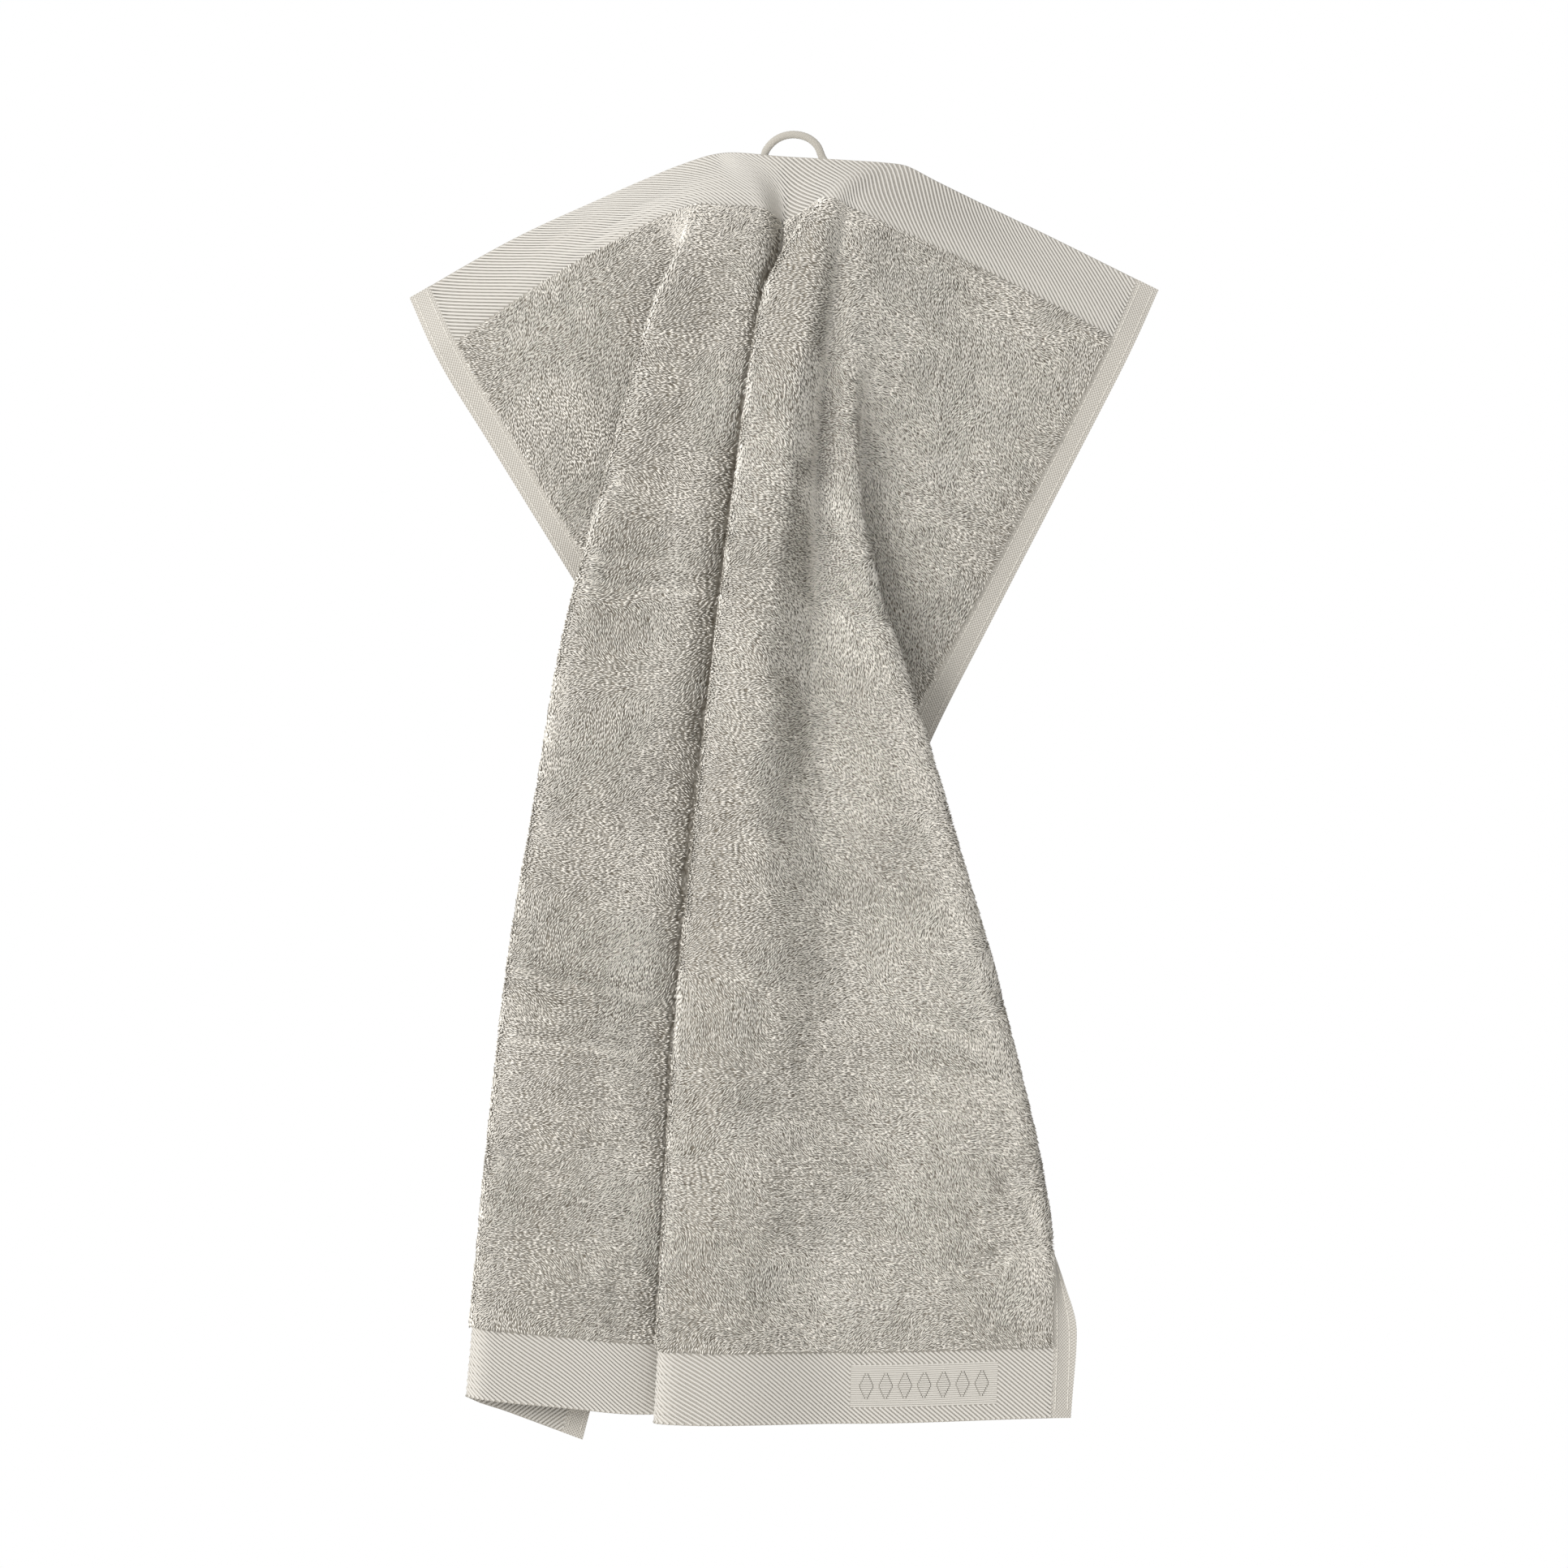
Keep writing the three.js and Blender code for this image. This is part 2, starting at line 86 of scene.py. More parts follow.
# %% Folds
FOLDS = {
    "left_hem": (0, 0, [
        [0, 0, -182, 1, -76],
        [32, 0, -169, -9, -104],
        [80, 0, -144, -6, -145],
        [160, 0, -102, -2, -213],
        [250, 0, -55, 0, -289],
        [306, 0, -28, -3, -335],
        [400, 0, -51, -11, -427],
        [500, 0, -75, -13, -521],
        [600, 0, -100, -10, -616],
    ]),
    "left_wing": (0, 0, [
        [0, 58, -131, 3, -46.5],
        [32, 60, -116, -13, -68],
        [80, 58, -94, -11, -114],
        [160, 38, -71, -4, -193],
        [250, 15, -44, -1, -281],
        [306, 30, -54, -9, -325],
        [400, 30, -79, -15, -416],
        [600, 20, -118, -13, -609],
    ]),
    "left_back_fold": (-1, 1, [
        [0, 112, -85, 3, -26, 0],
        [32, 118, -65, -19, -40, 0],
        [80, 117, -43, -17, -84, 2.5],
        [160, 75, -41, -9, -174, 4],
        [250, 29, -33, -6, -274, 4],
        [306, 60, -80, -19, -315, 0],
        [400, 60, -106, -19, -405, 0],
        [600, 41, -136, -16, -602, 0],
    ]),
    "left_ridge": (1, 1, [
        [0, 140, -56, 0, -14, 0],
        [32, 143, -46, -23, -33, 0],
        [80, 136, -64, -27, -77, 3],
        [160, 125, -86, -30, -156, 4.5],
        [250, 112, -109, -32, -245, 4.5],
        [306, 104, -118.5, -31, -301, 4.5],
        [400, 91, -134, -30, -395, 4.5],
        [500, 76, -145, -28, -495, 4.5],
        [600, 62, -154.5, -24, -594, 4],
    ]),
    "left_panel": (0, 0, [
        [0, 158, -38, -2, -8],
        [32, 160, -31, -23, -34],
        [80, 160, -38, -25, -81],
        [160, 152, -57, -29, -159],
        [250, 148, -71, -31, -248],
        [400, 135, -89, -31, -399],
        [600, 110, -106, -26, -600],
    ]),
    "left_panel_edge": (0, 0, [
        [0, 176, -29, -2, -7],
        [32, 176, -17, -23, -34.5],
        [80, 178, -20, -27, -84],
        [160, 174, -35, -28, -161],
        [250, 171, -49, -28, -248],
        [400, 165, -61, -28, -401],
        [600, 145, -72, -24, -603],
    ]),
    "centre_fold": (-1, 1, [
        [0, 200, -5, -3, -9, 0],
        [32, 200, -5, -11, -43, 1],
        [80, 198, -5, -13, -86, 2],
        [160, 192, -18, -19, -158, 3],
        [250, 188, -31, -21, -245, 3],
        [400, 184, -40, -23, -399, 3.2],
        [600, 173, -44, -22, -603, 3.2],
    ]),
    "centre_ridge": (1, 1, [
        [0, 232, 30, -4, -11.5, 0],
        [32, 228, 12.5, -27, -32, 1],
        [80, 224, -13, -34, -76, 3],
        [160, 217, -25, -39, -153, 4.5],
        [250, 210, -36, -38, -241, 4.5],
        [400, 202, -53, -36, -401, 4],
        [600, 195, -66, -34, -606, 3.5],
    ]),
    "centre_crest": (0, 0, [
        [0, 240, 39, -4, -12],
        [32, 236, 18.5, -29, -31],
        [80, 244, 8.5, -41, -80],
        [160, 240, -4.5, -45, -157],
        [250, 232, -17, -45, -245],
        [400, 223, -31, -42, -402],
        [600, 218, -41, -38, -607],
    ]),
    "centre_valley": (0, 0, [
        [0, 247, 46, -3, -12.5],
        [32, 246, 24, -25, -34.5],
        [80, 256, 15.5, -28, -87],
        [160, 263, 9, -22, -163],
        [250, 266, 10, -21, -250],
        [400, 280, 24, -26, -405],
        [600, 290, 28, -26, -607],
    ]),
    "right_ridge": (-1, -1, [
        [0, 254, 53, -3, -13, 0],
        [32, 256, 31, -26, -37.5, 0],
        [80, 270, 28, -32, -85, 0.5],
        [160, 293, 30, -31, -168, 3.5],
        [205, 306, 38.5, -32, -213, 4.2],
        [250, 320, 53.5, -33, -259, 4.5],
        [333, 345, 78.5, -32, -343, 4.5],
        [400, 365, 97, -31, -408, 4],
        [515, 388, 120.5, -28, -520, 2.5],
        [560, 390, 122.5, -30, -564, 0],
        [600, 390, 121, -31, -604, 0],
    ]),
    "right_back_fold": (1, -1, [
        [0, 270, 66, -3, -20, 0],
        [32, 272, 46, -23, -44, 0],
        [80, 282, 37, -28, -93, 0.5],
        [160, 306, 25, -22, -171, 3],
        [250, 355, 22, -18, -271, 4],
        [333, 372, 55, -19, -353, 0],
        [400, 382, 84, -21, -415, 0],
        [515, 395, 121, -23, -520, 0],
        [560, 394, 127, -29, -564, 0],
        [600, 394, 125, -30, -604, 0],
    ]),
    "right_wing": (0, 0, [
        [0, 335, 112, 3, -42],
        [32, 335, 101, -13, -69],
        [80, 340, 85, -12, -115],
        [160, 353, 60, -13, -192],
        [250, 378, 43, -6, -282],
        [333, 386, 44, -14, -358],
        [400, 391, 76, -18, -418],
        [515, 398, 119, -22, -520],
        [600, 398, 129, -29, -604],
    ]),
    "right_hem": (0, 0, [
        [0, 400, 173, 1, -72],
        [32, 400, 160, -8, -100],
        [80, 400, 138, -5, -143],
        [160, 400, 101, -3, -214],
        [250, 400, 62, -3, -292],
        [333, 400, 34, -10, -363],
        [400, 400, 69, -15, -422],
        [515, 400, 118, -21, -520],
        [535, 400, 127, -25, -540],
        [560, 400, 133, -28, -564],
        [600, 400, 130, -29, -604],
    ]),
}

# %% [markdown]
# A section across the cloth is a soft line through the folds. The curve between two
# places is cubic, and never swings past them, which keeps panels flat and folds where they
# are put. A tight fold gets a place on each side of it, half a turn apart.

# %% Sections
def glide(stops, values, at):
    """A smooth curve through rising stops, read at many places."""
    stops = np.asarray(stops, float)
    values = np.asarray(values, float)
    steps = np.diff(stops)
    slopes = np.diff(values) / steps
    tangents = np.zeros_like(values)
    tangents[0], tangents[-1] = slopes[0], slopes[-1]
    before, after = slopes[:-1], slopes[1:]
    near, far = 2 * steps[1:] + steps[:-1], steps[1:] + 2 * steps[:-1]
    same = before * after > 0
    safe_before, safe_after = np.where(same, before, 1), np.where(same, after, 1)
    tangents[1:-1] = np.where(same, (near + far) / (near / safe_before + far / safe_after), 0)
    k = np.clip(np.searchsorted(stops, at, side="right") - 1, 0, len(steps) - 1)
    t = np.clip((at - stops[k]) / steps[k], 0, 1)
    return (
        (2 * t**3 - 3 * t**2 + 1) * values[k]
        + (t**3 - 2 * t**2 + t) * steps[k] * tangents[k]
        + (3 * t**2 - 2 * t**3) * values[k + 1]
        + (t**3 - t**2) * steps[k] * tangents[k + 1]
    )


def folds_at(down):
    """Where every fold stands at one distance down: how far across, and its place."""
    folds = []
    for layers, after, rows in FOLDS.values():
        table = np.array([row if len(row) == 6 else [*row, 0] for row in rows], float)
        across, *place, roll = (float(glide(table[:, 0], table[:, c], down)) for c in range(1, 6))
        folds.append((across, np.array(place), roll, layers, after))
    stops = []
    for k, (across, place, roll, layers, after) in enumerate(folds):
        if not layers:
            stops.append((across, place))
            continue
        rolled = min(roll / FULL_ROLL, 1)

        def beside(way):
            other = folds[k + way]
            room = abs(other[0] - across)
            reach = min(np.pi / 2 * roll + LEAST_REACH, ROOM_SHARE * room)
            straight = place + (other[1] - place) * reach / room
            turned = np.array([place[0] + layers * roll, place[1] - after * way * roll])
            straight[:2] += (turned - straight[:2]) * rolled
            return across + way * reach, straight

        stops += [beside(-1), (across, place), beside(1)]
    return stops


def section(down):
    """One soft line across the cloth."""
    stops, places = zip(*folds_at(down))
    places = np.array(places)
    at = np.linspace(0, CLOTH_WIDTH, FINE_STEPS + 1)
    line = np.stack([glide(stops, places[:, c], at) for c in range(3)], 1)
    for _ in range(SOFTEN_PASSES):
        line[1:-1] = (line[:-2] + 2 * line[1:-1] + line[2:]) / 4
    return line


downs = np.linspace(0, CLOTH_LENGTH, FINE_ROWS + 1)
smooth_middle = np.array([section(down) for down in downs])
print("middle surface:", smooth_middle.shape[0], "rows of", smooth_middle.shape[1], "places")

# %% [markdown]
# Washed terry is never quite smooth: short creases run across the panels where the cloth
# was folded in the cupboard, and the borders pucker a little where they are tighter than
# the pile. Each crease is a soft trough or ridge, placed one by one. Its row is across, down,
# turn in degrees from level, length, width and depth, negative for a trough. Creases fade
# where the cloth turns away from the front.

# %% Creases
CREASES = [
    (118, 18, -14, 90, 11, -3.6),
    (105, 8, -12, 80, 9, 1.8),
    (128, 168, 8, 60, 15, -3.3),
    (126, 188, 10, 66, 16, 3.0),
    (136, 203, 1, 50, 8, -1.8),
    (148, 216, 4, 70, 12, -3.8),
    (120, 330, 6, 70, 18, -3.0),
    (125, 352, 10, 60, 16, 2.7),
    (126, 402, 9, 84, 10, -3.4),
    (124, 412, 9, 84, 10, 3.2),
    (116, 431, 2, 90, 10, -3.2),
    (108, 485, -6, 60, 18, -2.7),
    (104, 503, 5, 70, 16, 2.7),
    (230, 240, 70, 80, 14, 1.8),
    (245, 380, 82, 130, 22, 2.1),
    (318, 414, 18, 70, 12, -3.2),
    (322, 428, 14, 70, 12, 3.0),
    (310, 452, 6, 70, 16, -2.7),
    (366, 492, 60, 44, 18, -3.3),
    (300, 505, 4, 60, 16, 2.4),
    (228, 522, 8, 46, 18, -3.3),
    (240, 543, 4, 60, 14, 2.4),
    (345, 530, -12, 60, 18, -2.7),
    (50, 60, 24, 60, 16, 2.1),
    (340, 120, -30, 70, 20, -2.4),
    (350, 60, -22, 70, 18, 2.4),
    (70, 120, 30, 60, 18, -2.4),
]
CREASE_FADE = 3
PUCKER_LIFT = 0.35
PUCKER_PITCH = 90
DRIFT_WAVES = 7


def drift(across, down, wavelength, seed):
    """Smooth, even unevenness of about one unit either way, the same each run."""
    waves = np.random.default_rng(seed)
    total = np.zeros(np.broadcast(across, down).shape)
    for _ in range(DRIFT_WAVES):
        turn, phase = waves.uniform(0, 2 * np.pi, 2)
        pitch = wavelength * waves.uniform(0.7, 1.6)
        run = np.cos(turn) * across + np.sin(turn) * down
        total += np.sin(2 * np.pi * run / pitch + phase)
    return total * np.sqrt(2 / DRIFT_WAVES)


def crease_lift(across, down):
    """How far the creases lift the cloth out of its front."""
    lift = PUCKER_LIFT * drift(across, down, PUCKER_PITCH, 3)
    for at_across, at_down, turn, long, wide, depth in CREASES:
        turn = np.radians(turn)
        run = np.cos(turn) * (across - at_across) + np.sin(turn) * (down - at_down)
        off = np.cos(turn) * (down - at_down) - np.sin(turn) * (across - at_across)
        lift = lift + depth * np.exp(-((run / (long / 2)) ** 2) - (off / (wide / 2)) ** 2)
    return lift


def unit(vectors):
    return vectors / np.linalg.norm(vectors, axis=-1, keepdims=True)


def directions(middle):
    """Unit vectors across the cloth, down it, and out of its front."""
    along = unit(np.gradient(middle, axis=1))
    downward = unit(np.gradient(middle, axis=0))
    return along, downward, unit(np.cross(downward, along))


across_fine = np.linspace(0, CLOTH_WIDTH, FINE_STEPS + 1)
smooth_front = directions(smooth_middle)[2]
facing = (-smooth_front[..., 1]).clip(0, 1)
lift = facing**CREASE_FADE * crease_lift(across_fine[None, :], downs[:, None])
middle = smooth_middle + lift[..., None] * smooth_front
along_fine, downward_fine, front_fine = directions(middle)
print("creases lift the cloth from", round(lift.min(), 2), "to", round(lift.max(), 2), "mm")


def read_grid(grid, across, down):
    """The value of a fine grid at many places of the cloth."""
    c = np.clip(across / CLOTH_WIDTH * FINE_STEPS, 0, FINE_STEPS - 1e-6)
    r = np.clip(down / CLOTH_LENGTH * FINE_ROWS, 0, FINE_ROWS - 1e-6)
    c0, r0 = c.astype(int), r.astype(int)
    fc, fr = (c - c0)[:, None], (r - r0)[:, None]
    upper = grid[r0, c0] * (1 - fc) + grid[r0, c0 + 1] * fc
    lower = grid[r0 + 1, c0] * (1 - fc) + grid[r0 + 1, c0 + 1] * fc
    return upper * (1 - fr) + lower * fr


def half_thickness(across, down):
    """Half the ground cloth's thickness: thin in the borders, full under the pile."""
    hem = (across <= SIDE_HEM) | (across >= CLOTH_WIDTH - SIDE_HEM)
    border = (down <= PILE_TOP) | (down >= PILE_BOTTOM)
    return np.where(hem, HEM_HALF, np.where(border, BORDER_HALF, TERRY_HALF))


def on_cloth(across, down, side, lift=0.0):
    """Places on one face of the cloth, lifted off it, with the directions there."""
    along = unit(read_grid(along_fine, across, down))
    downward = unit(read_grid(downward_fine, across, down))
    out = side * unit(read_grid(front_fine, across, down))
    height = half_thickness(across, down) + lift
    return read_grid(middle, across, down) + height[:, None] * out, along, downward, out


# %% [markdown]
# The ground cloth is one closed sheet: a grid for the back, a copy turned round for the
# front, and the two rims bridged. Its lines stand close where the pile begins, so that the
# step from border to pile is crisp. The mesh keeps the flat cloth's own coordinates in a
# UV map, so a weave drawn on it follows every fold. The rim is shaded flat and its edges
# are sharp, which keeps its shading off the two faces.

# %% Ground cloth
PILE_COLUMNS = 150
PILE_ROWS = 150
HEM_COLUMNS = 4
BORDER_ROWS = 12
TERRY_SLOT, FLAT_SLOT, HEM_SLOT = 0, 1, 2

# The square map: one half of it for each face, with a margin, and a thin strip for the rim.
MAP_MARGIN = 0.01
MAP_WIDE = 0.47
MAP_BACK = 0.51
MAP_TALL = 0.98
RIM_MAP = 0.004


def even_stops(*runs):
    return np.unique(np.concatenate([np.linspace(a, b, steps + 1) for a, b, steps in runs]))


column_stops = even_stops(
    (0, SIDE_HEM, HEM_COLUMNS),
    (SIDE_HEM + PILE_STEP, CLOTH_WIDTH - SIDE_HEM - PILE_STEP, PILE_COLUMNS),
    (CLOTH_WIDTH - SIDE_HEM, CLOTH_WIDTH, HEM_COLUMNS),
)
row_stops = even_stops(
    (0, PILE_TOP, BORDER_ROWS),
    (PILE_TOP + PILE_STEP, PILE_BOTTOM - PILE_STEP, PILE_ROWS),
    (PILE_BOTTOM, CLOTH_LENGTH, BORDER_ROWS),
)


def add_maps(mesh, across, down, side):
    """The flat cloth's coordinates in metres, and the same laid out in one square."""
    corners = np.empty(len(mesh.loops), int)
    mesh.loops.foreach_get("vertex_index", corners)
    flat = np.stack([across, down], 1)[corners] * MM
    mesh.uv_layers.new(name="cloth").uv.foreach_set("vector", flat.astype(np.float32).ravel())
    back = side[corners] == BACK
    half = MAP_MARGIN + MAP_WIDE * flat[:, 0] / (CLOTH_WIDTH * MM)
    tall = MAP_MARGIN + MAP_TALL * flat[:, 1] / (CLOTH_LENGTH * MM)
    square = np.stack([half + np.where(back, MAP_BACK, 0), tall], 1)
    starts = np.empty(len(mesh.polygons), int)
    counts = np.empty(len(mesh.polygons), int)
    mesh.polygons.foreach_get("loop_start", starts)
    mesh.polygons.foreach_get("loop_total", counts)
    mixed = np.maximum.reduceat(back, starts) != np.minimum.reduceat(back, starts)
    rim = np.repeat(mixed, counts)
    square[rim, 0] = half[rim] + np.where(back[rim], RIM_MAP, 0)
    mesh.uv_layers.new(name="OFBake").uv.foreach_set("vector", square.astype(np.float32).ravel())


def make_ground():
    """The ground cloth, and a tree of its faces for rays to meet."""
    bm = bmesh.new()
    bmesh.ops.create_grid(
        bm, x_segments=len(column_stops) - 1, y_segments=len(row_stops) - 1, size=0.5
    )
    sides = bm.verts.layers.int.new("side")
    for vert in bm.verts:
        vert[sides] = BACK
    rim = [edge for edge in bm.edges if edge.is_boundary]
    copied = bmesh.ops.duplicate(bm, geom=bm.verts[:] + bm.edges[:] + bm.faces[:])
    front_faces = [g for g in copied["geom"] if isinstance(g, bmesh.types.BMFace)]
    for g in copied["geom"]:
        if isinstance(g, bmesh.types.BMVert):
            g[sides] = FRONT
    bmesh.ops.reverse_faces(bm, faces=front_faces)
    front_rim = [copied["edge_map"][edge] for edge in rim]
    bmesh.ops.bridge_loops(bm, edges=rim + front_rim)
    bm.verts.index_update()
    flat = np.array([vert.co[:2] for vert in bm.verts]) + 0.5
    side = np.array([vert[sides] for vert in bm.verts])
    across = column_stops[np.rint(flat[:, 0] * (len(column_stops) - 1)).astype(int)]
    down = row_stops[np.rint(flat[:, 1] * (len(row_stops) - 1)).astype(int)]
    places = np.where(
        (side == FRONT)[:, None],
        on_cloth(across, down, FRONT)[0],
        on_cloth(across, down, BACK)[0],
    )
    for vert, place in zip(bm.verts, places * MM):
        vert.co = place
    bmesh.ops.recalc_face_normals(bm, faces=bm.faces[:])
    terry = (across > SIDE_HEM) & (across < CLOTH_WIDTH - SIDE_HEM)
    terry &= (down > PILE_TOP) & (down < PILE_BOTTOM)
    hem = (across <= SIDE_HEM) | (across >= CLOTH_WIDTH - SIDE_HEM)
    for face in bm.faces:
        corners = [v.index for v in face.verts]
        face.smooth = len(set(side[corners])) == 1
        face.material_index = FLAT_SLOT
        if terry[corners].all():
            face.material_index = TERRY_SLOT
        elif hem[corners].all():
            face.material_index = HEM_SLOT
    for edge in bm.edges:
        edge.smooth = all(face.smooth for face in edge.link_faces)
    mesh = bpy.data.meshes.new("ground_cloth")
    bm.to_mesh(mesh)
    tree = BVHTree.FromBMesh(bm)
    bm.free()
    add_maps(mesh, across, down, side)
    piece = bpy.data.objects.new("ground_cloth", mesh)
    bpy.context.scene.collection.objects.link(piece)
    return piece, tree


ground, ground_tree = make_ground()
print("ground cloth:", len(ground.data.polygons), "faces")

# %% [markdown]
# Terry is woven with a slack warp that stands in loops on both faces. Each loop is a small
# leaning grain here, with four corners and four faces, sunk a little in the ground cloth.
# Washing combs the loops into soft patches that lean together, so their turn drifts slowly
# over the cloth. Where two layers of a fold face each other, about one loop in five is made.

# %% Loops of the pile
# Sizes of a loop: long and wide are shares of the pitch, tall and sink are millimetres.
LOOP_PITCH = {FRONT: 1.2, BACK: 1.7}
LOOP_LONG = 2.1
LOOP_WIDE = 0.82
LOOP_TALL = 1.1
LOOP_SINK = 0.2
LOOP_JITTER = 0.4
SIZE_CHANCE = 0.1
SIZE_LIMIT = 0.25
SHORTEST, TALLEST = 0.5, 1.6
EDGE_SPILL = 1.4

# How far the loops turn to either side, in radians, and the pitch of each slow drift.
COMB_LEAN = 0.5
COMB_SPREAD = 80
COMB_WIDE, COMB_WIDE_PITCH = 0.55, 70
COMB_FINE, COMB_FINE_PITCH = 0.28, 22
TURN_CHANCE = 0.18

# How loops that overlap are pushed apart: the room each needs, in shares of the pitch.
ROOM_LONG = 2.07
ROOM_WIDE = 0.56
SETTLE_PASSES = 5
SETTLE_REACH = 3
SETTLE_PUSH = 0.25
LEAST_APART = 1e-3

# Tone and height: patches, chance, rows of weft, and painted shade on loops seen on a fold's
# edge.
TONE_MIDDLE = 0.5
TONE_WIDE, TONE_WIDE_PITCH = 0.05, 70
TONE_FINE, TONE_FINE_PITCH = 0.03, 24
TONE_CHANCE = 0.14
TALL_PATCH, TALL_PATCH_PITCH = 0.1, 14
TALL_CHANCE = 0.12
WEFT_ROW = 2.9
ROWS_PATCH, ROWS_PATCH_PITCH = 0.5, 80
ROWS_WANDER, ROWS_WANDER_PITCH = 0.5, 40
ROWS_DARKER = 0.15
ROWS_LOWER = 0.35
EDGE_POWER = 2
EDGE_PAINTED_SHADE = 0.75
EDGE_TALLER = 0.5

# Where another layer stands this close in front of a loop, only this share is made.
RAY_START = 1.0
HIDDEN_REACH = 9.0
HIDDEN_SHARE = 0.2


def joined_mesh(name, places, faces, tone, across, down, side):
    """Many small closed shapes as one mesh, with their tone and the cloth's maps."""
    mesh = bpy.data.meshes.new(name)
    mesh.from_pydata((places * MM).tolist(), [], faces.tolist())
    mesh.polygons.foreach_set("use_smooth", np.ones(len(mesh.polygons), bool))
    layer = mesh.attributes.new("tone", "FLOAT", "POINT")
    layer.data.foreach_set("value", tone.astype(np.float32))
    add_maps(mesh, across, down, side)
    piece = bpy.data.objects.new(name, mesh)
    bpy.context.scene.collection.objects.link(piece)
    return piece


GRAIN_FACES = np.array([(0, 2, 3), (0, 3, 1), (1, 3, 2), (0, 1, 2)])
# Painted light on each loop, by corner: the two sunk sides painted in shade, the raised tip
# painted as a highlight.
GRAIN_PAINTED_LIGHT = np.array([0.0, -0.9, -0.9, 0.5])
GRAIN_ALONG = np.array([-0.5, 0.0, 0.0, 0.5])
GRAIN_RISE = 0.6


def make_grains(name, across, down, side, turn, long, wide, tall, tone):
    """One leaning grain at each place: root, left, right and raised tip."""
    place, along, downward, out = on_cloth(across, down, side)
    heading = unit(np.cos(turn)[:, None] * downward + np.sin(turn)[:, None] * along)
    beside = np.cross(out, heading)
    long, wide, tall = (np.broadcast_to(v, across.shape)[:, None] for v in (long, wide, tall))
    root, left, right, tip = (place + at * long * heading for at in GRAIN_ALONG)
    corners = np.stack([
        root + GRAIN_RISE * tall * out,
        left + 0.5 * wide * beside - LOOP_SINK * out,
        right - 0.5 * wide * beside - LOOP_SINK * out,
        tip + tall * out,
    ], 1).reshape(-1, 3)
    count = len(across)
    faces = (np.arange(count)[:, None, None] * len(GRAIN_ALONG) + GRAIN_FACES).reshape(-1, 3)
    tones = (tone[:, None] + GRAIN_PAINTED_LIGHT).ravel()
    spread = (across[:, None] + long * np.sin(turn)[:, None] * GRAIN_ALONG).ravel()
    drop = (down[:, None] + long * np.cos(turn)[:, None] * GRAIN_ALONG).ravel()
    return joined_mesh(name, corners, faces, tones, spread, drop, np.full(spread.size, side))


def faces_a_layer(across, down, side):
    """True where another layer of the cloth stands close in front of this face."""
    place, _, _, out = on_cloth(across, down, side, RAY_START)
    return np.array([
        ground_tree.ray_cast(start, aim, HIDDEN_REACH * MM)[0] is not None
        for start, aim in zip((place * MM).tolist(), out.tolist())
    ])


def combed(across, down, side):
    """The turn of each loop: to the side, up on the left and down on the right."""
    turn = np.pi / 2 + COMB_LEAN * side * np.tanh((CLOTH_WIDTH / 2 - across) / COMB_SPREAD)
    turn += COMB_WIDE * drift(across, down, COMB_WIDE_PITCH, 11 + side)
    turn += COMB_FINE * drift(across, down, COMB_FINE_PITCH, 21)
    return turn


def settled(across, down, turn, pitch):
    """Loops on a grid pushed apart until they lie side by side, each along its own lean."""
    cos, sin = np.cos(turn), np.sin(turn)
    reach = range(-SETTLE_REACH, SETTLE_REACH + 1)
    steps = [(row, column) for row in reach for column in reach if row or column]
    for _ in range(SETTLE_PASSES):
        push_long, push_wide = np.zeros(across.shape), np.zeros(across.shape)
        for step in steps:
            to_across = np.roll(across, step, (0, 1)) - across
            to_down = np.roll(down, step, (0, 1)) - down
            long = (cos * to_down + sin * to_across) / (ROOM_LONG * pitch)
            wide = (cos * to_across - sin * to_down) / (ROOM_WIDE * pitch)
            apart = np.hypot(long, wide) + LEAST_APART
            push = SETTLE_PUSH * np.maximum(1 - apart, 0) / apart
            push_long -= push * long * ROOM_LONG * pitch
            push_wide -= push * wide * ROOM_WIDE * pitch
        across = across + sin * push_long + cos * push_wide
        down = down + cos * push_long - sin * push_wide
    return across, down


def pile_places(side, seed):
    """Where the loops of one face stand, which way they turn, and the face's chance."""
    chance = np.random.default_rng(seed)
    pitch = LOOP_PITCH[side]
    first_across, last_across = SIDE_HEM + PILE_STEP, CLOTH_WIDTH - SIDE_HEM - PILE_STEP
    first_down, last_down = PILE_TOP + PILE_STEP, PILE_BOTTOM - PILE_STEP
    across, down = np.meshgrid(
        np.arange(first_across, last_across, pitch), np.arange(first_down, last_down, pitch)
    )
    turn = combed(across, down, side) + chance.normal(0, TURN_CHANCE, across.shape)
    across = across + chance.uniform(-LOOP_JITTER, LOOP_JITTER, across.shape) * pitch
    down = down + chance.uniform(-LOOP_JITTER, LOOP_JITTER, down.shape) * pitch
    across, down = settled(across, down, turn, pitch)
    spill = chance.uniform(0, EDGE_SPILL, (2, across.size))
    across = across.ravel().clip(first_across - spill[0], last_across + spill[0])
    down = down.ravel().clip(first_down - spill[1], last_down + spill[1])
    kept = ~faces_a_layer(across, down, side) | (chance.uniform(size=across.size) < HIDDEN_SHARE)
    return across[kept], down[kept], turn.ravel()[kept], chance


